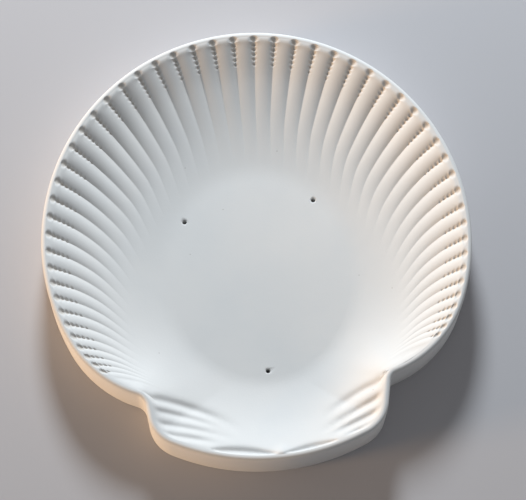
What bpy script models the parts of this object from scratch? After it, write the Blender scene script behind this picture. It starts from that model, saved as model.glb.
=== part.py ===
"""Shell shaped platter: a one-piece bisque dish with a fluted fan, two unequal ears and a hinge edge.

The dish lies on its base ring: +X right, +Y to the top of the fan, +Z up, all sizes in metres.
"""
import math

import bmesh
import bpy
import numpy as np

# Overall form, seen from above
FAN_HALF_WIDTH = 0.1438
FAN_REACH = 0.1474
HINGE_REACH = 0.1523
CHEEK_START = math.radians(114.0)
CHEEK_RADIUS = 0.0800
NOTCH_REACH_RIGHT = 0.0770
NOTCH_REACH_LEFT = 0.0860
NOTCH_ROUNDING_RIGHT = 0.0040
NOTCH_ROUNDING_LEFT = 0.0060
NOTCH_APPROACH = math.radians(3.0)
EAR_LEAN_RIGHT = math.radians(14.0)
EAR_LEAN_LEFT = math.radians(5.0)
EAR_LENGTH = 0.0290
EAR_ROUNDING = 0.0130
HINGE_ARC_RADIUS = 0.1500
HINGE_STRAIGHTENING = 0.85

# Section
HEIGHT = 0.0360
FLOOR_THICKNESS = 0.0070
BASE_CLEARANCE = 0.0010
WALL_THICKNESS = 0.0080
SKIRT_THICKNESS = 0.0070
BASE_EDGE = 0.0008
LIP_WIDTH = 0.0036
LIP_ROUNDING = 0.0016
LIP_FALL = 0.0006
BOWL_HOLLOWNESS = 0.72

# Floor of the bowl
FLOOR_HALF_WIDTH = 0.0610
FLOOR_HALF_LENGTH = 0.0700
FLOOR_OFFSET = -0.0205

# Flutes of the fan
FLUTES_PER_SIDE = 27
FLUTE_PITCH = math.radians(5.865)
FLUTE_CROWDING = math.radians(0.0015)
FLUTE_DEPTH = 0.0024
FLUTE_START = 0.0026
FLUTE_FADE = 0.86
FLUTE_STRENGTH = ((0, 12, 20, 27), (1.0, 0.95, 0.65, 0.35))

# Way of a flute from the lip to the floor, by the heading of its lip end in degrees from +Y
FLOOR_HEADING = ((0, 125, 180), (0, 154, 180))
LEAVING_HEADING = ((0, 60, 86, 115, 130, 143), (0, 60, 79, 93, 105, 115))
LEAVING_REACH = 0.45
UMBO_SETBACK = 0.0140
UMBO_REACH = 0.72
UMBO_PULL_FROM = 127.0
UMBO_PULL_SPAN = 18.0

# Flutes of the ears and the crescent grooves along the hinge
EAR_FLUTES = 4
EAR_FLUTE_DEPTH = 0.0016
EAR_FLUTE_FADE = 0.50
NOTCH_FLUTE_STRENGTH = 1.4
CRESCENT_DEPTH = 0.0026
CRESCENT_INNER = 0.0030
CRESCENT_OUTER = 0.0420
CRESCENT_SETBACK = 0.0068
CRESCENT_WIDTH = 0.0022
KNOB_HEIGHT = 0.0009
KNOB_RADIUS = 0.0040

# Vent holes: place from the floor's centre, drilled through the floor
VENT_DIAMETER = 0.0032
VENT_PLACES = ((-0.0465, 0.0450), (0.0425, 0.0510), (-0.0020, -0.0650))
VENT_SIDES = 12

# Finish
BISQUE_COLOUR = (0.80, 0.78, 0.74, 1.0)
BISQUE_ROUGHNESS = 0.85
SHARP_ANGLE = math.radians(50.0)

# How finely the surface is divided
COLUMNS_PER_FLUTE = 4
SHOULDER_COLUMNS = 2
HINGE_COLUMNS = 8
NOTCH_STEPS = 5
EAR_CORNER_STEPS = 9
FLOOR_EDGE_STEPS = 180
PATH_STEPS = 49
NOTCH_SEARCH = math.radians(0.05)
LIP_STEPS = ((1.0, 0.0), (0.3, 0.3), (0.0, 1.0))
WALL_ROWS = (0.035, 0.09, 0.17, 0.27, 0.39, 0.53, 0.68, 0.84, 1.0)
UNDER_ROWS = (0.22, 0.46, 0.72, 1.0)

# The fan's centre lies where it makes the outline's box centred on the origin
FAN_CENTRE = np.array((0.0, (HINGE_REACH - FAN_REACH) / 2))
FLOOR_CENTRE = FAN_CENTRE + np.array((0.0, FLOOR_OFFSET))
FLOOR_TOP = BASE_CLEARANCE + FLOOR_THICKNESS


def clear_scene():
    for item in list(bpy.data.objects):
        bpy.data.objects.remove(item)


def smooth_step(value):
    clipped = np.clip(value, 0.0, 1.0)
    return clipped * clipped * (3.0 - 2.0 * clipped)


def fan_point(angle):
    """Point of the fan's outline at an angle from +Y: an ellipse, then the cheek's smaller arc."""
    heading = np.array((math.sin(angle), math.cos(angle)))
    if angle <= CHEEK_START:
        reach = FAN_REACH if heading[1] > 0 else FAN_HALF_WIDTH
        return heading * (FAN_HALF_WIDTH, reach)
    start = np.array((math.sin(CHEEK_START), math.cos(CHEEK_START)))
    cheek_centre = start * (FAN_HALF_WIDTH - CHEEK_RADIUS)
    along = heading @ cheek_centre
    return heading * (along + math.sqrt(along ** 2 - cheek_centre @ cheek_centre + CHEEK_RADIUS ** 2))


def rounded_corner(before, corner, after, reach, steps):
    """Curve that replaces a corner, from reach before it to reach after it."""
    start = corner + (before - corner) / np.linalg.norm(before - corner) * reach
    end = corner + (after - corner) / np.linalg.norm(after - corner) * reach
    spread = np.linspace(0.0, 1.0, steps)[:, None]
    return start * (1 - spread) ** 2 + corner * 2 * spread * (1 - spread) + end * spread ** 2


def resample(points, count):
    """Points spaced evenly along a polyline, both ends included."""
    lengths = np.concatenate(([0.0], np.cumsum(np.linalg.norm(np.diff(points, axis=0), axis=1))))
    targets = np.linspace(0.0, lengths[-1], count)
    return np.stack([np.interp(targets, lengths, points[:, axis]) for axis in (0, 1)], axis=1)


def flute_angle(index):
    """Heading of the groove with this index, where the spacing narrows away from the axis."""
    return FLUTE_PITCH * index - FLUTE_CROWDING * index ** 3


def half_outline(notch_reach, notch_rounding, ear_lean):
    """Outline of one side, from the fan's top to the hinge's middle, with each point's flute phase."""
    points = []
    phases = []
    for step in range(FLUTES_PER_SIDE * COLUMNS_PER_FLUTE + 1):
        index = step / COLUMNS_PER_FLUTE
        points.append(fan_point(flute_angle(index)))
        phases.append(("fan", index))
    last_flute = flute_angle(FLUTES_PER_SIDE)
    notch_angle = last_flute
    while fan_point(notch_angle)[0] > notch_reach:
        notch_angle += NOTCH_SEARCH
    notch = fan_point(notch_angle)
    before = fan_point(notch_angle - NOTCH_APPROACH)
    ear_side = np.array((-math.sin(ear_lean), -math.cos(ear_lean)))
    hinge_centre = np.array((0.0, HINGE_ARC_RADIUS - HINGE_REACH))
    corner_x = (notch + ear_side * EAR_LENGTH)[0]
    hinge_half = math.asin(corner_x / HINGE_ARC_RADIUS)
    corner = hinge_centre + HINGE_ARC_RADIUS * np.array((math.sin(hinge_half), -math.cos(hinge_half)))
    near = hinge_half * HINGE_STRAIGHTENING
    after = hinge_centre + HINGE_ARC_RADIUS * np.array((math.sin(near), -math.cos(near)))
    notch_curve = rounded_corner(before, notch, corner, notch_rounding, NOTCH_STEPS)
    corner_curve = rounded_corner(notch, corner, after, EAR_ROUNDING, EAR_CORNER_STEPS)
    shoulder_end = math.atan2(notch_curve[0][0], notch_curve[0][1])
    for step in range(1, SHOULDER_COLUMNS + 1):
        share = step / (SHOULDER_COLUMNS + 1)
        points.append(fan_point(last_flute + (shoulder_end - last_flute) * share))
        phases.append(("plain", 0.0))
    ear = resample(np.concatenate((notch_curve, corner_curve)), EAR_FLUTES * COLUMNS_PER_FLUTE + 1)
    for step, point in enumerate(ear):
        points.append(point)
        phases.append(("ear", step / COLUMNS_PER_FLUTE))
    end = math.asin(corner_curve[-1][0] / HINGE_ARC_RADIUS)
    for step in range(1, HINGE_COLUMNS + 1):
        angle = end * (1 - step / HINGE_COLUMNS)
        points.append(hinge_centre + HINGE_ARC_RADIUS * np.array((math.sin(angle), -math.cos(angle))))
        phases.append(("hinge", 0.0))
    return np.array(points), phases


def whole_outline():
    """The closed outline, clockwise from the fan's top, with phases and unit normals pointing in."""
    right, phases = half_outline(NOTCH_REACH_RIGHT, NOTCH_ROUNDING_RIGHT, EAR_LEAN_RIGHT)
    left, _ = half_outline(NOTCH_REACH_LEFT, NOTCH_ROUNDING_LEFT, EAR_LEAN_LEFT)
    points = np.concatenate((right, left[-2:0:-1] * (-1.0, 1.0))) + FAN_CENTRE
    phases = phases + phases[-2:0:-1]
    along = np.roll(points, -1, axis=0) - np.roll(points, 1, axis=0)
    along /= np.linalg.norm(along, axis=1)[:, None]
    return points, phases, np.stack((along[:, 1], -along[:, 0]), axis=1)


def floor_point(angle):
    """Point of the floor's oval edge at an angle from +Y."""
    return FLOOR_CENTRE + np.array((FLOOR_HALF_WIDTH * math.sin(angle), FLOOR_HALF_LENGTH * math.cos(angle)))


def inner_path(start):
    """Curve that a flute follows from the lip to the floor's edge, bending towards the hinge."""
    side = 1.0 if start[0] >= 0 else -1.0
    polar = math.degrees(math.atan2(abs(start[0]), start[1] - FAN_CENTRE[1]))
    end = floor_point(side * math.radians(np.interp(polar, *FLOOR_HEADING)))
    leaving = math.radians(np.interp(polar, *LEAVING_HEADING))
    travel = np.array((-side * math.sin(leaving), -math.cos(leaving)))
    square = start + travel * LEAVING_REACH * np.linalg.norm(end - start)
    umbo = np.array((0.0, FAN_CENTRE[1] - HINGE_REACH + UMBO_SETBACK))
    towards_umbo = start + (umbo - start) * UMBO_REACH
    pull = smooth_step((polar - UMBO_PULL_FROM) / UMBO_PULL_SPAN)
    middle = square + (towards_umbo - square) * pull
    spread = np.linspace(0.0, 1.0, PATH_STEPS)[:, None]
    return start * (1 - spread) ** 2 + middle * 2 * spread * (1 - spread) + end * spread ** 2


def point_along(curve, fraction):
    lengths = np.concatenate(([0.0], np.cumsum(np.linalg.norm(np.diff(curve, axis=0), axis=1))))
    target = fraction * lengths[-1]
    return np.array([np.interp(target, lengths, curve[:, axis]) for axis in (0, 1)])


def distance_to_loop(points, loop):
    """Distance of each point to a closed polyline."""
    ends = np.roll(loop, -1, axis=0)
    edge = ends - loop
    offset = points[:, None, :] - loop[None, :, :]
    share = np.clip((offset * edge).sum(axis=2) / (edge * edge).sum(axis=1), 0.0, 1.0)
    nearest = offset - share[:, :, None] * edge
    return np.sqrt((nearest ** 2).sum(axis=2)).min(axis=1)


def bowl_height(points, lip_loop, floor_loop):
    """Height of the plain bowl under the flutes, and the share of the way in from the lip."""
    from_lip = distance_to_loop(points, lip_loop)
    from_floor = distance_to_loop(points, floor_loop)
    share = from_lip / (from_lip + from_floor)
    left = 1.0 - share
    rise = (1.0 - BOWL_HOLLOWNESS) * left + BOWL_HOLLOWNESS * left ** 2
    return FLOOR_TOP + (HEIGHT - LIP_FALL - FLOOR_TOP) * rise, share


def flute_relief(phases, fraction, travelled):
    """How far each column is carved down at one row: deep at a groove, nothing on a rib's crown."""
    relief = []
    for (kind, index), distance in zip(phases, travelled):
        valley = (2.0 * (index % 1.0) - 1.0) ** 2
        start = smooth_step(distance / FLUTE_START)
        if kind == "fan":
            strength = FLUTE_DEPTH * np.interp(index, *FLUTE_STRENGTH)
            relief.append(valley * strength * start * (1.0 - smooth_step(fraction / FLUTE_FADE)))
        elif kind == "ear":
            strength = EAR_FLUTE_DEPTH * np.interp(index, (0.0, 1.0), (NOTCH_FLUTE_STRENGTH, 1.0))
            relief.append(valley * strength * start * (1.0 - smooth_step(fraction / EAR_FLUTE_FADE)))
        else:
            relief.append(0.0)
    return np.array(relief)


def hinge_relief(points, outline):
    """Crescent grooves just inside the hinge's lip, with the umbo's knob left standing between them."""
    setback = distance_to_loop(points, outline)
    across = np.abs(points[:, 0])
    below = points[:, 1] < -HINGE_REACH / 2
    window = smooth_step((across - CRESCENT_INNER) / (2 * KNOB_RADIUS))
    window = window * smooth_step((CRESCENT_OUTER - across) / (CRESCENT_OUTER / 3))
    groove = CRESCENT_DEPTH * window * np.exp(-((setback - CRESCENT_SETBACK) / CRESCENT_WIDTH) ** 2)
    knob_distance = np.hypot(across, setback - CRESCENT_SETBACK)
    knob = KNOB_HEIGHT * np.exp(-(knob_distance / KNOB_RADIUS) ** 2)
    return np.where(below, groove - knob, 0.0)


def platter_rings():
    """Every closed ring of the dish, from the floor's edge out over the lip and back underneath."""
    outline, phases, normals = whole_outline()
    lip = outline + normals * LIP_WIDTH
    turns = np.linspace(0.0, 2 * math.pi, FLOOR_EDGE_STEPS + 1)[:-1]
    floor_loop = np.array([floor_point(angle) for angle in turns])
    paths = [inner_path(start) for start in lip]
    spans = [np.linalg.norm(np.diff(path, axis=0), axis=1).sum() for path in paths]
    rings = []
    for fraction in reversed(WALL_ROWS):
        plan = np.array([point_along(path, fraction) for path in paths])
        height, _ = bowl_height(plan, lip, floor_loop)
        travelled = [span * fraction for span in spans]
        height = height - flute_relief(phases, fraction, travelled) - hinge_relief(plan, outline)
        rings.append((plan, height))
    rings.append((lip, np.full(len(lip), HEIGHT - LIP_FALL)))
    for inset, fall in LIP_STEPS:
        plan = outline + normals * LIP_ROUNDING * inset
        rings.append((plan, np.full(len(lip), HEIGHT - LIP_ROUNDING * fall)))
    rings.append((outline, np.full(len(lip), BASE_EDGE)))
    rings.append((outline + normals * BASE_EDGE, np.zeros(len(lip))))
    rings.append((outline + normals * SKIRT_THICKNESS, np.zeros(len(lip))))
    for fraction in (None,) + UNDER_ROWS:
        if fraction is None:
            plan = outline + normals * (SKIRT_THICKNESS + BASE_EDGE)
        else:
            plan = np.array([point_along(path, fraction) for path in paths])
        height, share = bowl_height(plan, lip, floor_loop)
        height = height - FLOOR_THICKNESS - (WALL_THICKNESS - FLOOR_THICKNESS) * (1.0 - share)
        rings.append((plan, height))
    return rings


def platter_mesh():
    """One closed loft of the rings, with a fan of faces over the floor and under it."""
    model = bmesh.new()
    loops = []
    for plan, height in platter_rings():
        loops.append([model.verts.new((point[0], point[1], z)) for point, z in zip(plan, height)])
    for inner, outer in zip(loops, loops[1:]):
        for place in range(len(inner)):
            following = (place + 1) % len(inner)
            model.faces.new((inner[place], inner[following], outer[following], outer[place]))
    top = model.verts.new((FLOOR_CENTRE[0], FLOOR_CENTRE[1], FLOOR_TOP))
    under = model.verts.new((FLOOR_CENTRE[0], FLOOR_CENTRE[1], BASE_CLEARANCE))
    for place in range(len(loops[0])):
        following = (place + 1) % len(loops[0])
        model.faces.new((top, loops[0][following], loops[0][place]))
        model.faces.new((under, loops[-1][place], loops[-1][following]))
    bmesh.ops.triangulate(model, faces=[face for face in model.faces if len(face.verts) == 4])
    bmesh.ops.recalc_face_normals(model, faces=model.faces)
    mesh = bpy.data.meshes.new("shell_platter")
    model.to_mesh(mesh)
    model.free()
    return mesh


def bisque_material():
    material = bpy.data.materials.new("bisque")
    material.use_nodes = True
    shader = material.node_tree.nodes["Principled BSDF"]
    shader.inputs["Base Color"].default_value = BISQUE_COLOUR
    shader.inputs["Roughness"].default_value = BISQUE_ROUGHNESS
    shader.inputs["Metallic"].default_value = 0.0
    return material


def vent_cutter(number, place):
    """Drill for one vent hole, longer than the floor is thick."""
    length = 4 * FLOOR_TOP
    bpy.ops.mesh.primitive_cylinder_add(vertices=VENT_SIDES, radius=VENT_DIAMETER / 2, depth=length)
    cutter = bpy.context.object
    cutter.name = f"vent_drill_{number}"
    cutter.location = (FLOOR_CENTRE[0] + place[0], FLOOR_CENTRE[1] + place[1], FLOOR_TOP)
    cutter.hide_render = True
    cutter.display_type = "WIRE"
    return cutter


def build_platter():
    platter = bpy.data.objects.new("shell_platter", platter_mesh())
    bpy.context.collection.objects.link(platter)
    platter.data.materials.append(bisque_material())
    platter.data.shade_smooth()
    platter.data.set_sharp_from_angle(angle=SHARP_ANGLE)
    for number, place in enumerate(VENT_PLACES, start=1):
        drill = platter.modifiers.new(f"vent_{number}", "BOOLEAN")
        drill.operation = "DIFFERENCE"
        drill.solver = "EXACT"
        drill.object = vent_cutter(number, place)
    return platter


clear_scene()
build_platter()
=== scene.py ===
import math

import bmesh
import bpy
import numpy as np
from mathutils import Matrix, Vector
from mathutils.geometry import delaunay_2d_cdt


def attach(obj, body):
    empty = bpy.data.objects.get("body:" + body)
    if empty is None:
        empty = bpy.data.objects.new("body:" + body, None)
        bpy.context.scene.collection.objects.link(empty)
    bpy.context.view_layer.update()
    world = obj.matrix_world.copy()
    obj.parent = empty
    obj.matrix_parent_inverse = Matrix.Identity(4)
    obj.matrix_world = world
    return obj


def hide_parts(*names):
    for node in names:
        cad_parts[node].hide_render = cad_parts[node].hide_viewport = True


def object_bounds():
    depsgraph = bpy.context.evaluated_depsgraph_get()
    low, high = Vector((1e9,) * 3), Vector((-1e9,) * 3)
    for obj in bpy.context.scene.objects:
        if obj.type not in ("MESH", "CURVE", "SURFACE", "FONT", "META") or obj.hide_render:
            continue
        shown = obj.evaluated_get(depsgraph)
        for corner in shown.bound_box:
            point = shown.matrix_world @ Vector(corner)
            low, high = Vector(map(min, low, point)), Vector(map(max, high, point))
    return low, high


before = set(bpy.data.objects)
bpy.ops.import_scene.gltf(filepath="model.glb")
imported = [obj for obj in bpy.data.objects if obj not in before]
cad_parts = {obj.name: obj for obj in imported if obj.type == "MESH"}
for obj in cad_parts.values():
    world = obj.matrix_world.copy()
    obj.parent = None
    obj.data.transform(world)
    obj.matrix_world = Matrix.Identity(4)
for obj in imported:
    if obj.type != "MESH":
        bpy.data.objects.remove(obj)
cadBox = [list(corner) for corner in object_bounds()]
print("frame loaded")


# Camera: looks down on the dish from the hinge side, a little from the left, as the picture was taken
cameraView = {
    "place": (-0.0645, -0.4447, 1.4664),
    "turn": (17.177, -0.667, -6.619),  # degrees about X, Y and Z
    "lens": 153.9,
    "sensor": 36.0,
}


def makeCamera(view):
    camera = bpy.data.objects.new("pictureCamera", bpy.data.cameras.new("pictureCamera"))
    bpy.context.scene.collection.objects.link(camera)
    camera.location = view["place"]
    camera.rotation_euler = [math.radians(angle) for angle in view["turn"]]
    camera.data.sensor_fit = "HORIZONTAL"
    camera.data.sensor_width = view["sensor"]
    camera.data.lens = view["lens"]
    camera.data.clip_end = 20.0
    bpy.context.scene.camera = camera


makeCamera(cameraView)
print("camera placed")


# The dish, on its CAD solid's outline, height and wall, with a softer lip and floor edge
dish = {
    "fanHalfWidth": 0.1438,
    "fanReach": 0.1474,
    "hingeReach": 0.1523,
    "cheekStart": 114.0,  # degrees from the fan's top
    "cheekRadius": 0.0800,
    "cheekLead": 3.0,  # degrees before a notch where the cheek's heading is taken
    "ears": {"right": {"notchReach": 0.0770, "notchRounding": 0.0040, "lean": 14.0},
             "left": {"notchReach": 0.0860, "notchRounding": 0.0060, "lean": 5.0}},
    "earLength": 0.0290,
    "earRounding": 0.0130,
    "hingeArcRadius": 0.1500,
    "hingeLead": 0.85,  # share of the hinge's half arc where the ear's corner points
    "height": 0.0360,
    "floorTop": 0.0080,
    "floorUnder": 0.0010,
    "underWall": 0.0080,  # thickness of the wall at the lip
    "skirt": 0.0070,  # width of the foot that the dish stands on
    "footEdge": 0.0008,
    "footStep": 0.0001,
    "outerLevels": (0.0230, 0.0120),
    "lipWidth": 0.0036,
    "lipRounding": 0.0024,
    "lipFall": 0.0002,
    "lipEase": 0.0032,  # the wall turns down from the lip over this length
    "wallSlope": 0.5,
    "easeRun": 0.0250,  # further in, the wall is back where it was
    "hollowness": 0.72,  # how much steeper the wall is near the lip
    "creaseShare": 0.14,  # how softly the wall runs out onto the floor
    "floorHalfWidth": 0.0610,
    "floorHalfLength": 0.0700,
    "floorOffset": -0.0205,
    "ribs": 27,  # on each side of the groove on the axis
    "ribPitch": 5.865,
    "ribCrowding": 0.0015,
    "earRibs": 4,
    "umboSetback": 0.0140,  # where the ears' columns head for, inside the hinge
}

# Way of the grooves by the heading of their lip end, in degrees from the fan's top: the heading they leave
# the lip with, how many degrees they turn in a millimetre, over which length, and where on the floor they point
grooveWay = {
    "heading": (0, 30, 50, 61, 72, 90, 107, 118, 125, 143, 180),
    "leaving": (0, 29, 47.5, 58, 67, 80, 87, 90, 92, 96, 96),
    "turning": (0, 0.15, 0.27, 0.40, 0.58, 0.85, 0.95, 1.1, 1.1, 1.1, 1.1),
    "bend": (0.050, 0.050, 0.050, 0.050, 0.050, 0.044, 0.038, 0.032, 0.028, 0.024, 0.024),
    "floor": (0, 37, 63, 79, 98, 132, 150, 157, 160, 166, 180),
    "ribLength": (0.088, 0.088, 0.086, 0.083, 0.076, 0.064, 0.056, 0.046, 0.038, 0.030, 0.030),
}

# How the columns' ways are joined: handles of the run to the floor, pull towards the umbo past the cheeks, and
# sharing between neighbours beside the notches
wayJoin = {"leaveHandle": 0.4, "arriveHandle": 0.3, "umboHandle": 0.72, "pullStart": 124.0, "pullSpan": 17.0,
           "shareStart": 130.0, "shareColumns": 5, "shareRun": 0.12}

# Grooves along the hinge and the knob between them
hinge = {"left": {"side": -1, "depth": 0.0044, "inner": 0.0050, "outer": 0.0450, "setback": 0.0044,
                  "bow": 0.0020, "width": 0.0030},
         "right": {"side": 1, "depth": 0.0030, "inner": 0.0020, "outer": 0.0360, "setback": 0.0040,
                   "bow": 0.0012, "width": 0.0024},
         "knobHeight": 0.0010, "knobRadius": 0.0040, "knobSetback": 0.0062,
         "edge": 0.0032, "edgeRun": 0.0020}  # nothing is carved between the outline and the edge

# Inside of the ears. Valleys, deepest at the lip: start, bend and end in plan, depth and width.
# Shelves, which make each ear flatter than the wall beside it: place in plan, lift and radius.
ears = {
    "valleys": (
        ((-0.0885, -0.0990), (-0.0519, -0.0998), (-0.0215, -0.1290), 1.6, 0.0031),
        ((-0.0800, -0.1080), (-0.0527, -0.1108), (-0.0300, -0.1285), 1.1, 0.0024),
        ((-0.0800, -0.1166), (-0.0527, -0.1200), (-0.0270, -0.1330), 1.1, 0.0024),
        ((-0.0790, -0.1240), (-0.0586, -0.1278), (-0.0380, -0.1340), 1.1, 0.0024),
        ((0.0790, -0.1035), (0.0502, -0.1048), (0.0260, -0.1270), 1.5, 0.0029),
        ((0.0740, -0.1130), (0.0465, -0.1218), (0.0240, -0.1350), 1.6, 0.0025),
        ((0.0700, -0.1230), (0.0499, -0.1299), (0.0300, -0.1370), 1.5, 0.0024),
        ((0.0650, -0.1325), (0.0526, -0.1350), (0.0400, -0.1390), 1.2, 0.0021),
    ),
    "valleyFade": 0.55,  # share of a valley's length after which it dies out
    "shelves": ((-0.0540, -0.1180, 0.0010, 0.0170), (0.0500, -0.1180, 0.0026, 0.0170)),
    "shelfRun": 0.0120,  # from the lip to the full lift
}

# Drilled vents: place from the floor's centre
vents = {"radius": 0.0016, "bevel": 0.0005, "sides": 28, "below": 0.0050, "above": 0.0035, "flare": 0.0040,
         "places": ((-0.0465, 0.0450), (0.0425, 0.0510), (-0.0020, -0.0650))}

# How finely the surface is divided
fineness = {
    "ribSteps": (0.0, 0.08, 0.17, 0.28, 0.43, 0.66, 1.0),  # from a groove to the rib's crown
    "pitZone": 0.0200,
    "pitZoneShare": 0.55,  # at most this share of a column
    "pitRows": 50,
    "wallRows": 24,
    "underRows": (0.10, 0.22, 0.34, 0.46, 0.59, 0.72, 0.86, 1.0),
    "lipRows": 6,
    "lipTurns": (18, 36, 54, 72, 90),
    "footTurns": (0, 30, 60, 90),
    "shoulderColumns": 8,
    "notchColumns": 13,
    "cornerColumns": 21,
    "hingeColumns": 36,
    "widthColumns": 3,  # neighbours over which a rib's width is evened
    "plainWidth": 0.0100,  # width that stands for a rib's where there is none
    "notchSearch": 0.05,  # degrees
    "pathSteps": 65,
    "wayPoints": 41,
    "valleyPoints": 25,
    "floorRings": ((0.985, 3), (0.965, 9)),  # share of the floor's size, and columns over which it is evened
    "floorSpacing": 0.0080,
    "floorRows": 9,
    "floorFill": 0.9,
    "mergeGap": 0.00001,
    "smoothAngle": 50.0,
}

fanCentre = np.array((0.0, (dish["hingeReach"] - dish["fanReach"]) / 2))
floorCentre = fanCentre + np.array((0.0, dish["floorOffset"]))


def smoothStep(value):
    clipped = np.clip(value, 0.0, 1.0)
    return clipped * clipped * (3.0 - 2.0 * clipped)


def fanPoint(degrees):
    # the fan is an ellipse, then each cheek turns in on a smaller arc
    angle = math.radians(degrees)
    heading = np.array((math.sin(angle), math.cos(angle)))
    if degrees <= dish["cheekStart"]:
        reach = dish["fanReach"] if heading[1] > 0 else dish["fanHalfWidth"]
        return heading * (dish["fanHalfWidth"], reach)
    cheek = math.radians(dish["cheekStart"])
    centre = np.array((math.sin(cheek), math.cos(cheek))) * (dish["fanHalfWidth"] - dish["cheekRadius"])
    along = heading @ centre
    return heading * (along + math.sqrt(along ** 2 - centre @ centre + dish["cheekRadius"] ** 2))


def grooveAngle(index):
    # grooves stand closer together away from the axis
    return dish["ribPitch"] * index - dish["ribCrowding"] * index ** 3


def roundedCorner(before, corner, after, reach, steps):
    start = corner + (before - corner) / np.linalg.norm(before - corner) * reach
    end = corner + (after - corner) / np.linalg.norm(after - corner) * reach
    spread = np.linspace(0.0, 1.0, steps)[:, None]
    return start * (1 - spread) ** 2 + corner * 2 * spread * (1 - spread) + end * spread ** 2


def pathLengths(points):
    return np.concatenate(([0.0], np.cumsum(np.linalg.norm(np.diff(points, axis=0), axis=1))))


def pointsAt(points, lengths, targets):
    return np.stack([np.interp(targets, lengths, points[:, axis]) for axis in (0, 1)], axis=1)


def placesAt(paths, lengths, targets):
    # one place on each column's way
    return np.array([pointsAt(path, length, [target])[0]
                     for path, length, target in zip(paths, lengths, targets)])


def ribIndices(count):
    # column places in ribs, close together beside each groove
    steps = np.array(fineness["ribSteps"]) / 2
    oneRib = np.concatenate((steps, 1.0 - steps[-2:0:-1]))
    return np.concatenate([oneRib + rib for rib in range(count)] + [np.array((float(count),))])


def halfOutline(ear):
    # from the fan's top to the middle of the hinge: points, groove index, and which part each column is in
    fanIndex = ribIndices(dish["ribs"])
    fan = np.array([fanPoint(grooveAngle(index)) for index in fanIndex])
    notchAngle = grooveAngle(dish["ribs"])
    while fanPoint(notchAngle)[0] > ear["notchReach"]:
        notchAngle += fineness["notchSearch"]
    notch = fanPoint(notchAngle)
    before = fanPoint(notchAngle - dish["cheekLead"])
    lean = math.radians(ear["lean"])
    arcCentre = np.array((0.0, dish["hingeArcRadius"] - dish["hingeReach"]))
    cornerX = notch[0] - math.sin(lean) * dish["earLength"]
    halfArc = math.asin(cornerX / dish["hingeArcRadius"])
    corner = np.array((cornerX, arcCentre[1] - dish["hingeArcRadius"] * math.cos(halfArc)))
    near = halfArc * dish["hingeLead"]
    after = arcCentre + dish["hingeArcRadius"] * np.array((math.sin(near), -math.cos(near)))
    notchCurve = roundedCorner(before, notch, corner, ear["notchRounding"], fineness["notchColumns"])
    cornerCurve = roundedCorner(notch, corner, after, dish["earRounding"], fineness["cornerColumns"])

    shoulderEnd = math.degrees(math.atan2(notchCurve[0][0], notchCurve[0][1]))
    shoulderAngles = np.linspace(grooveAngle(dish["ribs"]), shoulderEnd, fineness["shoulderColumns"])
    shoulder = np.array([fanPoint(angle) for angle in shoulderAngles[1:-1]])
    earLine = np.concatenate((notchCurve, cornerCurve))
    earIndex = ribIndices(dish["earRibs"])
    earLengths = pathLengths(earLine)
    side = pointsAt(earLine, earLengths, earIndex / dish["earRibs"] * earLengths[-1])
    endAngle = math.asin(cornerCurve[-1][0] / dish["hingeArcRadius"])
    sweep = endAngle * (1 - np.arange(1, fineness["hingeColumns"] + 1) / fineness["hingeColumns"])
    edge = arcCentre + dish["hingeArcRadius"] * np.stack((np.sin(sweep), -np.cos(sweep)), axis=1)

    points = np.concatenate((fan, shoulder, side, edge))
    index = np.concatenate((fanIndex, np.zeros(len(shoulder)), earIndex, np.zeros(len(edge))))
    region = np.array(["fan"] * len(fan) + ["plain"] * len(shoulder) + ["ear"] * len(side)
                      + ["hinge"] * len(edge))
    return points, index, region


def polarAngles(lip):
    # heading of each column from the fan's centre, always growing from the fan's top to the hinge
    polar = np.degrees(np.arctan2(np.abs(lip[:, 0]), lip[:, 1] - fanCentre[1]))
    half = len(lip) // 2
    slack = np.linspace(0, 0.02, half + 1)
    right = np.maximum.accumulate(polar[:half + 1] + slack) - slack
    left = np.maximum.accumulate(np.concatenate((polar[:1], polar[:half - 1:-1])) + slack) - slack
    return np.concatenate((right, left[-2:0:-1]))


def evenSteps(points):
    lengths = pathLengths(points)
    return pointsAt(points, lengths, np.linspace(0.0, lengths[-1], fineness["pathSteps"]))


def travelVector(side, degrees):
    # degrees from the way to the hinge towards the dish's middle
    angle = np.radians(degrees)
    return np.stack((-side * np.sin(angle), -np.cos(angle)), axis=-1)


def swingPath(start, side, polar):
    # an arc that turns towards the hinge, then an easy run to the floor's edge
    law = {name: np.interp(polar, grooveWay["heading"], values) for name, values in grooveWay.items()}
    steps = np.linspace(0.0, law["bend"], fineness["wayPoints"])
    turned = law["leaving"] - law["turning"] * (steps[:-1] + steps[1:]) * 500
    arc = start + np.concatenate((np.zeros((1, 2)), np.cumsum(travelVector(side, turned) * steps[1], axis=0)))
    endAngle = side * math.radians(law["floor"])
    end = floorCentre + np.array((dish["floorHalfWidth"] * math.sin(endAngle),
                                  dish["floorHalfLength"] * math.cos(endAngle)))
    gap = np.linalg.norm(end - arc[-1])
    before = arc[-1] + travelVector(side, turned[-1]) * gap * wayJoin["leaveHandle"]
    after = end + np.array((math.sin(endAngle), math.cos(endAngle))) * gap * wayJoin["arriveHandle"]
    spread = np.linspace(0.0, 1.0, fineness["wayPoints"])[1:, None]
    run = (arc[-1] * (1 - spread) ** 3 + before * 3 * spread * (1 - spread) ** 2
           + after * 3 * spread ** 2 * (1 - spread) + end * spread ** 3)
    return evenSteps(np.concatenate((arc, run)))


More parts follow.
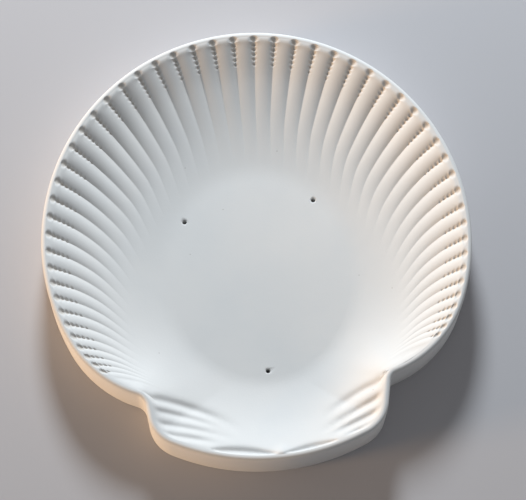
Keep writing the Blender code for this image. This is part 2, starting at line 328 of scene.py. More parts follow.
def umboPath(start, side, polar):
    # from an ear or the hinge towards the umbo, then to the floor's edge
    endAngle = side * math.radians(np.interp(polar, grooveWay["heading"], grooveWay["floor"]))
    end = floorCentre + np.array((dish["floorHalfWidth"] * math.sin(endAngle),
                                  dish["floorHalfLength"] * math.cos(endAngle)))
    umbo = np.array((0.0, fanCentre[1] - dish["hingeReach"] + dish["umboSetback"]))
    middle = start + (umbo - start) * wayJoin["umboHandle"]
    spread = np.linspace(0.0, 1.0, fineness["pathSteps"])[:, None]
    return evenSteps(start * (1 - spread) ** 2 + middle * 2 * spread * (1 - spread) + end * spread ** 2)


def innerPath(start, polar):
    # a column's way from the lip to the floor's edge
    side = 1.0 if start[0] >= 0 else -1.0
    pull = smoothStep((polar - wayJoin["pullStart"]) / wayJoin["pullSpan"])
    return swingPath(start, side, polar) * (1.0 - pull) + umboPath(start, side, polar) * pull


def allPaths(lip):
    # neighbouring paths share their ways, so that none cross in the notches
    headings = polarAngles(lip)
    paths = np.array([innerPath(start, heading) for start, heading in zip(lip, headings)])
    reach = wayJoin["shareColumns"]
    shared = sum(np.roll(paths, shift, axis=0) for shift in range(-reach, reach + 1)) / (2 * reach + 1)
    amount = smoothStep(np.linspace(0.0, 1.0, paths.shape[1]) / wayJoin["shareRun"])[None, :, None]
    amount = amount * np.where(headings > wayJoin["shareStart"], 1.0, 0.0)[:, None, None]
    return paths * (1.0 - amount) + shared * amount, headings


def distanceToLoop(points, loop):
    edge = np.roll(loop, -1, axis=0) - loop
    nearest = np.full(len(points), 1e9)
    for start, along in zip(loop, edge):
        offset = points - start
        share = np.clip((offset @ along) / (along @ along), 0.0, 1.0)
        gap = offset - share[:, None] * along
        nearest = np.minimum(nearest, (gap ** 2).sum(axis=1))
    return np.sqrt(nearest)


def bowlHeight(points, lipLoop, floorLoop):
    fromLip = distanceToLoop(points, lipLoop)
    fromFloor = distanceToLoop(points, floorLoop)
    share = fromLip / (fromLip + fromFloor)
    left = 1.0 - share
    eased = np.where(left < dish["creaseShare"], left ** 2 / (2 * dish["creaseShare"]),
                     left - dish["creaseShare"] / 2) / (1 - dish["creaseShare"] / 2)
    rise = (1.0 - dish["hollowness"]) * eased + dish["hollowness"] * left ** 2
    return dish["floorTop"] + (dish["height"] - dish["lipFall"] - dish["floorTop"]) * rise, share


def hingeRelief(points, setback):
    # a lens-shaped groove on each side of the knob, just inside the hinge's lip
    relief = np.zeros(len(points))
    for lens in (hinge["left"], hinge["right"]):
        place = (points[:, 0] * lens["side"] - lens["inner"]) / (lens["outer"] - lens["inner"])
        swell = np.sin(math.pi * np.clip(place, 0.0, 1.0))
        middle = lens["setback"] + lens["bow"] * swell
        width = lens["width"] * (0.5 + 0.5 * swell)
        relief += lens["depth"] * np.sqrt(swell) * np.exp(-((setback - middle) / width) ** 2)
    knobGap = np.hypot(points[:, 0], setback - hinge["knobSetback"])
    relief -= hinge["knobHeight"] * np.exp(-(knobGap / hinge["knobRadius"]) ** 2)
    relief *= smoothStep((setback - hinge["edge"]) / hinge["edgeRun"])
    return np.where(points[:, 1] < -dish["hingeReach"] / 2, relief, 0.0)


def wallLift(points, setback):
    # rounds the lip's inner side and flattens the ears
    inside = np.maximum(setback - dish["lipWidth"], 0.0)
    ease = np.minimum(inside, dish["lipEase"])
    lift = dish["wallSlope"] * (ease - ease ** 2 / (2 * dish["lipEase"]))
    lift *= 1.0 - smoothStep((inside - dish["lipEase"]) / dish["easeRun"])
    for x, y, rise, radius in ears["shelves"]:
        gap = np.hypot(points[:, 0] - x, points[:, 1] - y)
        lift += rise * np.exp(-(gap / radius) ** 2) * smoothStep(inside / ears["shelfRun"])
    return lift


def earRelief(points):
    # how deep each point lies in the ears' valleys, as a share of their common depth
    relief = np.zeros(len(points))
    near = points[:, 1] < -dish["hingeReach"] / 2
    for start, bend, end, strength, width in ears["valleys"]:
        spread = np.linspace(0.0, 1.0, fineness["valleyPoints"])
        curve = (np.outer((1 - spread) ** 2, start) + np.outer(2 * spread * (1 - spread), bend)
                 + np.outer(spread ** 2, end))
        gaps = points[near][:, None, :] - curve[None, :-1, :]
        along = np.diff(curve, axis=0)
        share = np.clip((gaps * along).sum(axis=2) / (along ** 2).sum(axis=1), 0.0, 1.0)
        gaps = np.linalg.norm(gaps - share[:, :, None] * along, axis=2)
        nearest = gaps.argmin(axis=1)
        row = np.arange(len(gaps))
        travelled = (nearest + share[row, nearest]) / len(along)
        left = 1.0 - smoothStep((travelled - ears["valleyFade"]) / (1.0 - ears["valleyFade"]))
        relief[near] += strength * left * np.exp(-(gaps[row, nearest] / width) ** 2)
    return relief


def wholeOutline():
    # both halves, clockwise from the fan's top
    points, index, region = halfOutline(dish["ears"]["right"])
    left = halfOutline(dish["ears"]["left"])[0]
    order = np.concatenate((np.arange(len(points)), np.arange(len(points) - 2, 0, -1)))
    outline = np.concatenate((points, left[-2:0:-1] * (-1.0, 1.0))) + fanCentre
    along = np.roll(outline, -1, axis=0) - np.roll(outline, 1, axis=0)
    along /= np.linalg.norm(along, axis=1)[:, None]
    inward = np.stack((along[:, 1], -along[:, 0]), axis=1)
    return outline, inward, index[order], region[order]


def ribWidths(ring, index, region):
    # how wide each rib is at one ring, seen from its own columns
    lengths = np.linalg.norm(np.roll(ring, -1, axis=0) - ring, axis=1)
    steps = np.abs(np.roll(index, -1) - index)
    width = np.where(steps > 0, lengths / np.maximum(steps, 1e-6), 0.0)
    width = np.maximum(width, np.roll(width, 1))
    reach = fineness["widthColumns"]
    smooth = sum(np.roll(width, shift) for shift in range(-reach, reach + 1)) / (2 * reach + 1)
    return np.where(region == "fan", smooth, fineness["plainWidth"])


# Each ring below holds its plan, its height, its distance from the lip's inner edge, which is negative outside
# the bowl, and its share of the ribs' length
def bowlRings(outline, paths, lengths, headings, lipLoop, floorLoop):
    # inside of the bowl, from the floor's edge to the lip
    ribLengths = np.interp(headings, grooveWay["heading"], grooveWay["ribLength"])
    spans = np.array([length[-1] for length in lengths])
    zone = np.minimum(fineness["pitZone"], fineness["pitZoneShare"] * spans)
    pitRows, wallRows = fineness["pitRows"], fineness["wallRows"]
    reaches = [zone * row / pitRows for row in range(1, pitRows + 1)]
    reaches += [zone + (spans - zone) * row / wallRows for row in range(1, wallRows + 1)]
    rings = []
    for reach in reversed(reaches):
        plan = placesAt(paths, lengths, reach)
        height, _ = bowlHeight(plan, lipLoop, floorLoop)
        setback = distanceToLoop(plan, outline[::2])
        height = height - hingeRelief(plan, setback) + wallLift(plan, setback)
        rings.append((plan, height, reach, reach / ribLengths))
    return rings


def edgeRings(outline, inward):
    # over the lip, down the outer wall and in under the foot
    count = len(outline)
    rings = []

    def addRing(inset, level, travel=-1.0):
        rings.append((outline + inward * inset, np.full(count, level), np.full(count, travel), np.zeros(count)))

    for inset in np.linspace(dish["lipWidth"], dish["lipRounding"], fineness["lipRows"]):
        share = (inset - dish["lipRounding"]) / (dish["lipWidth"] - dish["lipRounding"])
        addRing(inset, dish["height"] - dish["lipFall"] * share ** 2, inset - dish["lipWidth"])
    for degrees in fineness["lipTurns"]:
        angle = math.radians(degrees)
        addRing(dish["lipRounding"] * (1 - math.sin(angle)),
                dish["height"] - dish["lipRounding"] * (1 - math.cos(angle)))
    for level in dish["outerLevels"]:
        addRing(0.0, level)
    for degrees in fineness["footTurns"]:
        angle = math.radians(degrees)
        addRing(dish["footEdge"] * (1 - math.cos(angle)), dish["footEdge"] * (1 - math.sin(angle)))
    addRing(dish["skirt"], 0.0)
    addRing(dish["skirt"] + dish["footStep"], dish["footEdge"])
    return rings


def underRings(outline, inward, paths, lengths, lipLoop, floorLoop):
    # underside of the bowl, from inside the foot to the floor's edge
    floorThickness = dish["floorTop"] - dish["floorUnder"]
    away = np.full(len(outline), -1.0)
    rings = []
    for fraction in (0.0,) + fineness["underRows"]:
        plan = placesAt(paths, lengths, [fraction * length[-1] for length in lengths])
        if fraction == 0.0:
            plan = outline + inward * (dish["skirt"] + dish["footEdge"])
        height, share = bowlHeight(plan, lipLoop, floorLoop)
        height = height - floorThickness - (dish["underWall"] - floorThickness) * (1.0 - share)
        rings.append((plan, height, away, np.full(len(outline), fraction)))
    return rings


def plainDish():
    # the dish without its ribs and pits; the node tree below carves those from the stored attributes
    outline, inward, index, region = wholeOutline()
    lip = outline + inward * dish["lipWidth"]
    lipLoop = lip[::3]
    turn = np.linspace(0.0, 2 * math.pi, 361)[:-1]
    floorLoop = floorCentre + np.stack((dish["floorHalfWidth"] * np.sin(turn),
                                        dish["floorHalfLength"] * np.cos(turn)), axis=1)
    paths, headings = allPaths(lip)
    lengths = [pathLengths(path) for path in paths]
    rings = bowlRings(outline, paths, lengths, headings, lipLoop, floorLoop)
    rings += edgeRings(outline, inward)
    rings += underRings(outline, inward, paths, lengths, lipLoop, floorLoop)
    return rings, index, region


def ringMesh(rings, index, region):
    count = len(index)
    corners = []
    facts = {"grooveOffset": [], "ribWidth": [], "travel": [], "ribShare": [],
             "fanRib": [], "earValley": [], "pitReach": []}
    fanStrength = np.interp(index, ribs["strengthIndex"], ribs["strength"])
    fanStrength = np.where(region == "fan", fanStrength, 0.0)
    pitReach = np.interp(np.round(index), pits["rowIndex"], pits["rowLength"])
    pitReach = np.where(region == "fan", pitReach, 0.0)
    for plan, height, travel, share in rings:
        corners.append(np.column_stack((plan, height)))
        facts["grooveOffset"].append(index - np.round(index))
        facts["ribWidth"].append(ribWidths(plan, index, region))
        facts["travel"].append(travel)
        facts["ribShare"].append(share)
        facts["fanRib"].append(fanStrength)
        facts["earValley"].append(np.where(travel > 0, earRelief(plan), 0.0))
        facts["pitReach"].append(pitReach)
    vertices = np.concatenate(corners)
    faces = []
    for ring in range(len(rings) - 1):
        for place in range(count):
            following = (place + 1) % count
            faces.append((ring * count + place, ring * count + following,
                          (ring + 1) * count + following, (ring + 1) * count + place))
    mesh = bpy.data.meshes.new("plainDish")
    mesh.from_pydata(vertices.tolist(), [], faces)
    for name, values in facts.items():
        attribute = mesh.attributes.new(name, "FLOAT", "POINT")
        attribute.data.foreach_set("value", np.concatenate(values).astype(np.float32))
    return mesh, count, len(rings)


# Ribs and the pits that are pressed into the outer end of each groove
ribs = {
    "depth": 0.0020,
    "start": 0.0062,  # how far inside the lip a groove reaches its depth
    "fade": 1.0,  # share of its length where it has died out
    "strengthIndex": (0, 12, 20, 24, 27),
    "strength": (1.0, 1.0, 0.72, 0.50, 0.22),
    "earDepth": 0.0015,
}
pits = {
    "depth": 0.0009,
    "first": 0.0013,  # centre of the outermost pit, inside the lip's inner edge
    "spacing": 0.0031,
    "halfLength": 0.0015,
    "halfWidth": 0.0018,
    "firstSize": 1.40,
    "taper": 0.85,  # how much smaller the innermost pit is
    "rowIndex": (0, 10, 14, 18, 22, 25, 27),
    "rowLength": (0.0180, 0.0180, 0.0160, 0.0140, 0.0125, 0.0095, 0.0),
}


def addMath(tree, operation, *values):
    node = tree.nodes.new("ShaderNodeMath")
    node.operation = operation
    for socket, value in zip(node.inputs, values):
        if isinstance(value, (int, float)):
            socket.default_value = value
        else:
            tree.links.new(value, socket)
    return node.outputs[0]


def readAttribute(tree, name):
    node = tree.nodes.new("GeometryNodeInputNamedAttribute")
    node.data_type = "FLOAT"
    node.inputs["Name"].default_value = name
    return node.outputs["Attribute"]


def smoothBetween(tree, value, low, high):
    node = tree.nodes.new("ShaderNodeMapRange")
    node.interpolation_type = "SMOOTHSTEP"
    tree.links.new(value, node.inputs["Value"])
    for socket, limit in (("From Min", low), ("From Max", high)):
        if isinstance(limit, (int, float)):
            node.inputs[socket].default_value = limit
        else:
            tree.links.new(limit, node.inputs[socket])
    return node.outputs["Result"]


def ribTree(material):
    tree = bpy.data.node_groups.new("ribsAndPits", "GeometryNodeTree")
    tree.interface.new_socket("Geometry", in_out="INPUT", socket_type="NodeSocketGeometry")
    names = ("Rib depth", "Rib start", "Rib fade", "Ear depth",
             "Pit depth", "First pit", "Pit spacing", "Pit half length", "Pit half width",
             "First pit size", "Pit taper")
    for name in names:
        tree.interface.new_socket(name, in_out="INPUT", socket_type="NodeSocketFloat")
    tree.interface.new_socket("Geometry", in_out="OUTPUT", socket_type="NodeSocketGeometry")
    inlet = tree.nodes.new("NodeGroupInput").outputs
    outlet = tree.nodes.new("NodeGroupOutput")

    offset = readAttribute(tree, "grooveOffset")
    travel = readAttribute(tree, "travel")
    share = readAttribute(tree, "ribShare")
    reach = readAttribute(tree, "pitReach")
    width = readAttribute(tree, "ribWidth")

    # a rib's section: a rounded crown between two V grooves
    offCentre = addMath(tree, "MULTIPLY", 2.0, addMath(tree, "ABSOLUTE", offset))
    fromCrown = addMath(tree, "SUBTRACT", 1.0, offCentre)
    valley = addMath(tree, "MULTIPLY", fromCrown, fromCrown)
    start = smoothBetween(tree, travel, 0.0, inlet["Rib start"])
    fanLeft = addMath(tree, "SUBTRACT", 1.0, smoothBetween(tree, share, 0.0, inlet["Rib fade"]))
    fan = addMath(tree, "MULTIPLY", addMath(tree, "MULTIPLY", readAttribute(tree, "fanRib"), fanLeft),
                  inlet["Rib depth"])
    ear = addMath(tree, "MULTIPLY", readAttribute(tree, "earValley"), inlet["Ear depth"])
    ribCut = addMath(tree, "MULTIPLY", addMath(tree, "ADD", addMath(tree, "MULTIPLY", fan, valley), ear), start)

    # pits: the nearest one along the groove, smaller towards the inner end of its row
    along = addMath(tree, "SUBTRACT", travel, inlet["First pit"])
    number = addMath(tree, "ROUND", addMath(tree, "DIVIDE", along, inlet["Pit spacing"]))
    number = addMath(tree, "MAXIMUM", number, 0.0)
    centre = addMath(tree, "MULTIPLY", number, inlet["Pit spacing"])
    gap = addMath(tree, "SUBTRACT", along, centre)
    inRow = addMath(tree, "LESS_THAN", centre, reach)
    rowShare = addMath(tree, "DIVIDE", centre, addMath(tree, "MAXIMUM", reach, 0.001))
    size = addMath(tree, "SUBTRACT", inlet["First pit size"],
                   addMath(tree, "MULTIPLY", addMath(tree, "SQRT", rowShare), inlet["Pit taper"]))
    across = addMath(tree, "MULTIPLY", offset, width)
    halfWidth = addMath(tree, "MINIMUM", inlet["Pit half width"], addMath(tree, "MULTIPLY", width, 0.26))
    acrossPart = addMath(tree, "POWER", addMath(tree, "ABSOLUTE", addMath(
        tree, "DIVIDE", across, addMath(tree, "MULTIPLY", halfWidth, size))), 2.0)
    alongPart = addMath(tree, "POWER", addMath(tree, "ABSOLUTE", addMath(
        tree, "DIVIDE", gap, addMath(tree, "MULTIPLY", inlet["Pit half length"], size))), 2.0)
    bothParts = addMath(tree, "ADD", acrossPart, alongPart)
    hollow = addMath(tree, "MAXIMUM", addMath(tree, "SUBTRACT", 1.0, bothParts), 0.0)
    pitMask = addMath(tree, "MULTIPLY", addMath(tree, "MULTIPLY", addMath(tree, "SQRT", hollow), inRow), size)
    pitCut = addMath(tree, "MULTIPLY", pitMask, inlet["Pit depth"])

    drop = addMath(tree, "MULTIPLY", addMath(tree, "ADD", ribCut, pitCut), -1.0)
    shift = tree.nodes.new("ShaderNodeCombineXYZ")
    tree.links.new(drop, shift.inputs["Z"])
    move = tree.nodes.new("GeometryNodeSetPosition")
    tree.links.new(inlet["Geometry"], move.inputs["Geometry"])
    tree.links.new(shift.outputs["Vector"], move.inputs["Offset"])

    flow = move.outputs["Geometry"]
    # groove and pit masks, read by the clay's colour to darken these recesses with a dirt tone and painted
    # shade
    grooveMask = addMath(tree, "MULTIPLY", addMath(tree, "POWER", valley, 3.0), addMath(
        tree, "MULTIPLY", start, addMath(tree, "MULTIPLY", readAttribute(tree, "fanRib"), fanLeft)))
    for name, value in (("groove", grooveMask), ("pit", pitMask)):
        store = tree.nodes.new("GeometryNodeStoreNamedAttribute")
        store.data_type = "FLOAT"
        store.domain = "POINT"
        store.inputs["Name"].default_value = name
        tree.links.new(flow, store.inputs["Geometry"])
        tree.links.new(value, store.inputs["Value"])
        flow = store.outputs["Geometry"]
    realize = tree.nodes.new("GeometryNodeRealizeInstances")
    finish = tree.nodes.new("GeometryNodeSetMaterial")
    finish.inputs["Material"].default_value = material
    tree.links.new(flow, realize.inputs["Geometry"])
    tree.links.new(realize.outputs["Geometry"], finish.inputs["Geometry"])
    tree.links.new(finish.outputs["Geometry"], outlet.inputs["Geometry"])
    return tree


def carve(mesh, material):
    holder = bpy.data.objects.new("plainDish", mesh)
    bpy.context.scene.collection.objects.link(holder)
    tree = ribTree(material)
    modifier = holder.modifiers.new("ribsAndPits", "NODES")
    modifier.node_group = tree
    sizes = {"Rib depth": ribs["depth"], "Rib start": ribs["start"], "Rib fade": ribs["fade"],
             "Ear depth": ribs["earDepth"],
             "Pit depth": pits["depth"], "First pit": pits["first"], "Pit spacing": pits["spacing"],
             "Pit half length": pits["halfLength"], "Pit half width": pits["halfWidth"],
             "First pit size": pits["firstSize"], "Pit taper": pits["taper"]}
    for item in tree.interface.items_tree:
        if item.item_type == "SOCKET" and item.in_out == "INPUT" and item.name in sizes:
            modifier[item.identifier] = sizes[item.name]
    graph = bpy.context.evaluated_depsgraph_get()
    carved = bpy.data.meshes.new_from_object(holder.evaluated_get(graph), preserve_all_data_layers=True,
                                             depsgraph=graph)
    holder.modifiers.clear()
    bpy.data.objects.remove(holder)
    return carved


def bridge(model, inner, outer):
    for place in range(len(inner)):
        following = (place + 1) % len(inner)
        model.faces.new((inner[place], inner[following], outer[following], outer[place]))


def easedRing(ring, share, reach):
    # a smaller oval inside the floor's edge, its points spread more evenly than the columns that meet there
    turn = np.unwrap([math.atan2((corner.co.x - floorCentre[0]) / dish["floorHalfWidth"],
                                 (corner.co.y - floorCentre[1]) / dish["floorHalfLength"]) for corner in ring])
    even = np.arange(len(ring)) * 2 * math.pi / len(ring)
    slack = sum(np.roll(turn - even, shift) for shift in range(-reach, reach + 1)) / (2 * reach + 1)
    turn = even + slack
    return zip(floorCentre[0] + share * dish["floorHalfWidth"] * np.sin(turn),
               floorCentre[1] + share * dish["floorHalfLength"] * np.cos(turn))


def fillFlat(model, rim, level, spacing):
    # even triangles over a flat floor
    corners = list(rim)
    reach = range(-fineness["floorRows"], fineness["floorRows"] + 1)
    for row in reach:
        for column in reach:
            x = (column + 0.5 * (row % 2)) * spacing
            y = row * spacing * 0.87
            if math.hypot(x / dish["floorHalfWidth"], y / dish["floorHalfLength"]) < fineness["floorFill"]:
                corners.append(model.verts.new((floorCentre[0] + x, floorCentre[1] + y, level)))
    edges = [(place, (place + 1) % len(rim)) for place in range(len(rim))]
    _, _, faces, origins, _, _ = delaunay_2d_cdt([corner.co.xy for corner in corners], edges, [], 1, 0.0000001)
    for face in faces:
        model.faces.new([corners[origins[place][0]] for place in face])


def closeFloor(mesh, count, ringCount):
    # flat floor on both sides
    model = bmesh.new()
    model.from_mesh(mesh)
    for first, level in ((0, dish["floorTop"]), ((ringCount - 1) * count, dish["floorUnder"])):
        model.verts.ensure_lookup_table()
        ring = [model.verts[first + place] for place in range(count)]
        for share, reach in fineness["floorRings"]:
            inner = [model.verts.new((x, y, level)) for x, y in easedRing(ring, share, reach)]
            bridge(model, inner, ring)
            ring = inner
        fillFlat(model, ring, level, fineness["floorSpacing"])
    bmesh.ops.remove_doubles(model, verts=model.verts, dist=fineness["mergeGap"])
    bmesh.ops.recalc_face_normals(model, faces=model.faces)
    model.to_mesh(mesh)
    model.free()


def ventDrill():
    # one drill for each vent: a straight shaft that opens out at the dish's surface
    model = bmesh.new()
    top = dish["floorTop"] + 0.0001
    profile = ((vents["radius"], -vents["below"]), (vents["radius"], top - vents["bevel"]),
               (vents["radius"] + vents["bevel"] + 0.0001, top),
               (vents["radius"] + vents["flare"], top + vents["above"]))
    for x, y in vents["places"]:
        rings = []
        for radius, level in profile:
            rings.append([model.verts.new((floorCentre[0] + x + radius * math.cos(angle),
                                           floorCentre[1] + y + radius * math.sin(angle), level))
                          for angle in np.linspace(0, 2 * math.pi, vents["sides"] + 1)[:-1]])
        for lower, upper in zip(rings, rings[1:]):
            bridge(model, lower, upper)
        model.faces.new(rings[0])
        model.faces.new(rings[-1])
    bmesh.ops.recalc_face_normals(model, faces=model.faces)
    mesh = bpy.data.meshes.new("ventDrill")
    model.to_mesh(mesh)
    model.free()
    drill = bpy.data.objects.new("ventDrill", mesh)
    bpy.context.scene.collection.objects.link(drill)
    return drill


def drillVents(mesh):
    blank = bpy.data.objects.new("blankDish", mesh)
    bpy.context.scene.collection.objects.link(blank)
    drill = ventDrill()
    cut = blank.modifiers.new("vents", "BOOLEAN")
    cut.operation = "DIFFERENCE"
    cut.solver = "EXACT"
    cut.object = drill
    graph = bpy.context.evaluated_depsgraph_get()
    drilled = bpy.data.meshes.new_from_object(blank.evaluated_get(graph), preserve_all_data_layers=True,
                                              depsgraph=graph)
    blank.modifiers.clear()
    for spare in (blank, drill):
        bpy.data.objects.remove(spare)
    return drilled


def smoothShading(mesh):
    model = bmesh.new()
    model.from_mesh(mesh)
    print("open edges:", sum(not edge.is_manifold for edge in model.edges))
    sharpAngle = math.radians(fineness["smoothAngle"])
    for edge in model.edges:
        edge.smooth = not edge.is_manifold or edge.calc_face_angle(0.0) < sharpAngle
    for face in model.faces:
        face.smooth = True
        face.material_index = 0
    model.to_mesh(mesh)
    model.free()


# Unglazed clay: chalky white, a little warmer and darker in the grooves and pits, partly dirt settled in them
# and partly painted shade
clay = {
    "colour": (0.82, 0.812, 0.80, 1.0),
    "coolTone": (0.79, 0.79, 0.785, 1.0),
    # warm brown that the grooves and pits are blended towards: partly dirt, partly painted shade in the
    # recesses
    "dustAndShadeTone": (0.60, 0.52, 0.43, 1.0),
    "grooveDustAndShade": 0.16,
    "dustAndShadeLimit": 0.8,
    "pitDustAndShade": 0.34,
    "speckColour": (0.30, 0.26, 0.23, 1.0),
    "speckBlend": 0.8,
    "speckDepth": 2.0,  # in heights of the grain
    "speckScale": 55.0,
    "speckSize": 0.030,
    "speckShare": 0.10,
    "roughness": 0.81,
    "roughnessSpread": 0.1,
    "specular": 0.1,
    "grain": 0.00010,  # height of the clay's grain
    "grainStrength": 0.6,
    "fineScale": 900.0,
    "softScale": 60.0,
    "pinholeRadius": 0.0005,
    "pinholes": ((-0.0452, 0.0035), (-0.0195, 0.0329), (0.0668, -0.0239), (0.0873, -0.0369),
                 (0.0220, 0.0700), (-0.0421, 0.0645), (-0.0731, -0.0644), (0.0640, -0.1090)),
}


def newGroup(name, inputs, outputs):
    group = bpy.data.node_groups.new(name, "ShaderNodeTree")
    for label, kind, value in inputs:
        socket = group.interface.new_socket(label, in_out="INPUT", socket_type=kind)
        if value is not None:
            socket.default_value = value
    for label, kind in outputs:
        group.interface.new_socket(label, in_out="OUTPUT", socket_type=kind)
    return group, group.nodes.new("NodeGroupInput").outputs, group.nodes.new("NodeGroupOutput").inputs


def addNoise(tree, place, scale, detail, roughness=0.5):
    node = tree.nodes.new("ShaderNodeTexNoise")
    node.inputs["Detail"].default_value = detail
    node.inputs["Roughness"].default_value = roughness
    if isinstance(scale, (int, float)):
        node.inputs["Scale"].default_value = scale
    else:
        tree.links.new(scale, node.inputs["Scale"])
    tree.links.new(place, node.inputs["Vector"])
    return node.outputs["Fac"]


def addBlend(tree, amount, first, second):
    node = tree.nodes.new("ShaderNodeMix")
    node.data_type = "RGBA"
    for socket, value in ((node.inputs["Factor"], amount), (node.inputs[6], first), (node.inputs[7], second)):
        if hasattr(value, "is_output"):
            tree.links.new(value, socket)
        else:
            socket.default_value = value
    return node.outputs[2]


def grainGroup():
    # fine grain and soft unevenness of cast clay: a height and a slow mottle
    group, inlet, outlet = newGroup(
        "clayGrain",
        (("Place", "NodeSocketVector", None), ("Fine scale", "NodeSocketFloat", 900.0),
         ("Soft scale", "NodeSocketFloat", 60.0)),
        (("Height", "NodeSocketFloat"), ("Mottle", "NodeSocketFloat"), ("Cloud", "NodeSocketFloat")))
    fine = addNoise(group, inlet["Place"], inlet["Fine scale"], 3.0, 0.6)
    soft = addNoise(group, inlet["Place"], inlet["Soft scale"], 2.0)
    cloud = addNoise(group, inlet["Place"], 14.0, 3.0, 0.55)
    group.links.new(addMath(group, "ADD", addMath(group, "MULTIPLY", fine, 0.6),
                            addMath(group, "MULTIPLY", soft, 1.4)), outlet["Height"])
    group.links.new(fine, outlet["Mottle"])
    group.links.new(smoothBetween(group, cloud, 0.35, 0.65), outlet["Cloud"])
    return group


def speckGroup():
    # sparse pinholes and dark specks in the clay
    group, inlet, outlet = newGroup(
        "claySpecks",
        (("Place", "NodeSocketVector", None), ("Scale", "NodeSocketFloat", 55.0),
         ("Size", "NodeSocketFloat", 0.030), ("Share", "NodeSocketFloat", 0.10)),
        (("Speck", "NodeSocketFloat"),))
    cells = group.nodes.new("ShaderNodeTexVoronoi")
    group.links.new(inlet["Place"], cells.inputs["Vector"])
    group.links.new(inlet["Scale"], cells.inputs["Scale"])
    chosen = group.nodes.new("ShaderNodeSeparateColor")
    group.links.new(cells.outputs["Color"], chosen.inputs["Color"])
    rare = addMath(group, "LESS_THAN", chosen.outputs["Red"], inlet["Share"])
    dot = addMath(group, "SUBTRACT", 1.0, smoothBetween(group, cells.outputs["Distance"], 0.0, inlet["Size"]))
    group.links.new(addMath(group, "MULTIPLY", rare, dot), outlet["Speck"])
    return group


def pinholeGroup():
    # one small hole at a given place, seen from above
    group, inlet, outlet = newGroup(
        "clayPinhole",
        (("Place", "NodeSocketVector", None), ("Centre", "NodeSocketVector", None),
         ("Radius", "NodeSocketFloat", 0.0005), ("Others", "NodeSocketFloat", 0.0)),
        (("Hole", "NodeSocketFloat"),))
    gap = group.nodes.new("ShaderNodeVectorMath")
    gap.operation = "SUBTRACT"
    group.links.new(inlet["Place"], gap.inputs[0])
    group.links.new(inlet["Centre"], gap.inputs[1])
    flat = group.nodes.new("ShaderNodeVectorMath")
    flat.operation = "MULTIPLY"
    flat.inputs[1].default_value = (1.0, 1.0, 0.0)
    group.links.new(gap.outputs[0], flat.inputs[0])
    length = group.nodes.new("ShaderNodeVectorMath")
    length.operation = "LENGTH"
    group.links.new(flat.outputs[0], length.inputs[0])
    hole = addMath(group, "SUBTRACT", 1.0, smoothBetween(group, length.outputs["Value"], 0.0, inlet["Radius"]))
    group.links.new(addMath(group, "MAXIMUM", hole, inlet["Others"]), outlet["Hole"])
    return group


def placeGroup(tree, group, links):
    node = tree.nodes.new("ShaderNodeGroup")
    node.node_tree = group
    for name, value in links.items():
        if hasattr(value, "is_output"):
            tree.links.new(value, node.inputs[name])
        else:
            node.inputs[name].default_value = value
    return node.outputs


def clayMaterial(grain, specks, pinhole):
    material = bpy.data.materials.new("unglazedClay")
    material.use_nodes = True
    tree = material.node_tree
    shader = tree.nodes["Principled BSDF"]
    place = tree.nodes.new("ShaderNodeTexCoord").outputs["Object"]
    grained = placeGroup(tree, grain, {"Place": place, "Fine scale": clay["fineScale"],
                                       "Soft scale": clay["softScale"]})
    specked = placeGroup(tree, specks, {"Place": place, "Scale": clay["speckScale"], "Size": clay["speckSize"],
                                        "Share": clay["speckShare"]})
    holes = specked["Speck"]
    for x, y in clay["pinholes"]:
        holes = placeGroup(tree, pinhole, {"Place": place, "Centre": (x, y, 0.0),
                                           "Radius": clay["pinholeRadius"], "Others": holes})["Hole"]
    masks = {}
    for name in ("groove", "pit"):
        node = tree.nodes.new("ShaderNodeAttribute")
        node.attribute_name = name
        masks[name] = node.outputs["Fac"]
    colour = addBlend(tree, grained["Cloud"], clay["colour"], clay["coolTone"])
    # painted shade: grooves and pits blended towards the warm brown, which stands partly for dirt and partly
    # for the shade in these recesses
    dustAndShadeAmount = addMath(tree, "ADD", addMath(tree, "MULTIPLY", masks["groove"], clay["grooveDustAndShade"]),
                    addMath(tree, "MULTIPLY", masks["pit"], clay["pitDustAndShade"]))
    colour = addBlend(tree, addMath(tree, "MINIMUM", dustAndShadeAmount, clay["dustAndShadeLimit"]), colour, clay["dustAndShadeTone"])
    colour = addBlend(tree, addMath(tree, "MULTIPLY", holes, clay["speckBlend"]), colour, clay["speckColour"])
    tree.links.new(colour, shader.inputs["Base Color"])
    uneven = addMath(tree, "MULTIPLY", grained["Mottle"], clay["roughnessSpread"])
    tree.links.new(addMath(tree, "ADD", clay["roughness"], uneven), shader.inputs["Roughness"])
    shader.inputs["Specular IOR Level"].default_value = clay["specular"]
    bump = tree.nodes.new("ShaderNodeBump")
    bump.inputs["Strength"].default_value = clay["grainStrength"]
    bump.inputs["Distance"].default_value = clay["grain"]
    sunk = addMath(tree, "MULTIPLY", holes, clay["speckDepth"])
    tree.links.new(addMath(tree, "SUBTRACT", grained["Height"], sunk), bump.inputs["Height"])
    tree.links.new(bump.outputs["Normal"], shader.inputs["Normal"])
    return material


def makeDish():
    material = clayMaterial(grainGroup(), speckGroup(), pinholeGroup())
    rings, index, region = plainDish()
    mesh, count, ringCount = ringMesh(rings, index, region)
    print("plain dish:", len(mesh.vertices), "points")
    carved = carve(mesh, material)
    closeFloor(carved, count, ringCount)
    carved = drillVents(carved)
    smoothShading(carved)
    carved.name = "shellDish"
    low, high = (np.array(corner) for corner in cadBox)
    places = np.empty(len(carved.vertices) * 3, np.float32)
    carved.vertices.foreach_get("co", places)
    places = np.clip(places.reshape(-1, 3), low, high).astype(np.float32)
    carved.vertices.foreach_set("co", places.ravel())
    carved.update()
    piece = bpy.data.objects.new("shellDish", carved)
    bpy.context.scene.collection.objects.link(piece)
    carved.calc_loop_triangles()
    print("dish carved:", len(carved.loop_triangles), "triangles")
    return piece


shellDish = makeDish()
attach(shellDish, "root")
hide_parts("shell_platter")


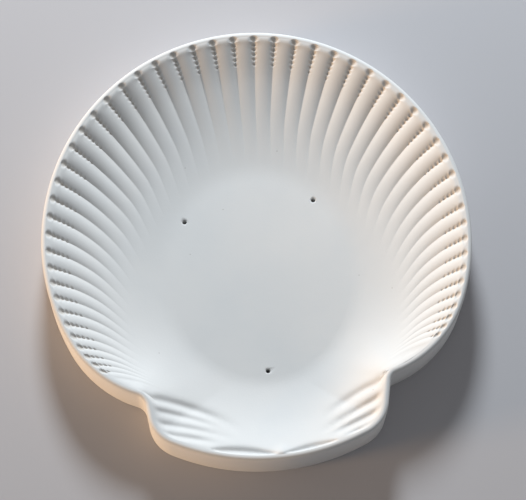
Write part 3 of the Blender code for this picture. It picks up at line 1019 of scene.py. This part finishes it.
# Table and light
studio = {
    "tableColour": (0.55, 0.54, 0.56, 1.0),
    "tableHalf": 6.0,
    "tableLevel": -0.0001,
    "tableRoughness": 0.9,
    "tableSpecular": 0.2,
    "skyColour": (0.95, 0.97, 1.0, 1.0),
    "skyStrength": 0.20,
    "lamps": (
        # name, place, aim, size, watts, colour
        ("coolTop", (0.07, 1.40, 0.85), (0.0, 0.0, 0.02), 0.4, 29.6, (0.88, 0.95, 1.0)),
        ("warmSide", (-2.90, -0.42, 0.42), (0.0, 0.0, 0.02), 0.7, 64.0, (1.0, 0.65, 0.36)),
    ),
}


def makeTable():
    half, level = studio["tableHalf"], studio["tableLevel"]
    mesh = bpy.data.meshes.new("table")
    mesh.from_pydata([(-half, -half, level), (half, -half, level), (half, half, level), (-half, half, level)],
                     [], [(0, 1, 2, 3)])
    table = bpy.data.objects.new("table", mesh)
    bpy.context.scene.collection.objects.link(table)
    material = bpy.data.materials.new("paleTable")
    material.use_nodes = True
    shader = material.node_tree.nodes["Principled BSDF"]
    shader.inputs["Base Color"].default_value = studio["tableColour"]
    shader.inputs["Roughness"].default_value = studio["tableRoughness"]
    shader.inputs["Specular IOR Level"].default_value = studio["tableSpecular"]
    mesh.materials.append(material)


def makeSky():
    world = bpy.data.worlds.new("studioSky")
    bpy.context.scene.world = world
    world.use_nodes = True
    tree = world.node_tree
    tree.nodes.clear()
    soft = tree.nodes.new("ShaderNodeBackground")
    soft.inputs["Color"].default_value = studio["skyColour"]
    soft.inputs["Strength"].default_value = studio["skyStrength"]
    white = tree.nodes.new("ShaderNodeBackground")
    white.inputs["Color"].default_value = (1.0, 1.0, 1.0, 1.0)
    white.inputs["Strength"].default_value = 1.0
    rays = tree.nodes.new("ShaderNodeLightPath").outputs
    seen = addMath(tree, "MAXIMUM", addMath(tree, "MAXIMUM", rays["Is Camera Ray"], rays["Is Glossy Ray"]),
                   rays["Is Transmission Ray"])
    mix = tree.nodes.new("ShaderNodeMixShader")
    output = tree.nodes.new("ShaderNodeOutputWorld")
    tree.links.new(seen, mix.inputs["Fac"])
    tree.links.new(soft.outputs[0], mix.inputs[1])
    tree.links.new(white.outputs[0], mix.inputs[2])
    tree.links.new(mix.outputs[0], output.inputs["Surface"])


def makeLamps():
    for name, place, aim, size, watts, colour in studio["lamps"]:
        lamp = bpy.data.lights.new(name, "AREA")
        lamp.shape = "DISK"
        lamp.size = size
        lamp.energy = watts
        lamp.color = colour
        holder = bpy.data.objects.new(name, lamp)
        bpy.context.scene.collection.objects.link(holder)
        holder.location = place
        holder.rotation_euler = (Vector(aim) - Vector(place)).to_track_quat("-Z", "Y").to_euler()


makeTable()
makeSky()
makeLamps()
bpy.context.scene.view_settings.view_transform = "Standard"
print("studio set")
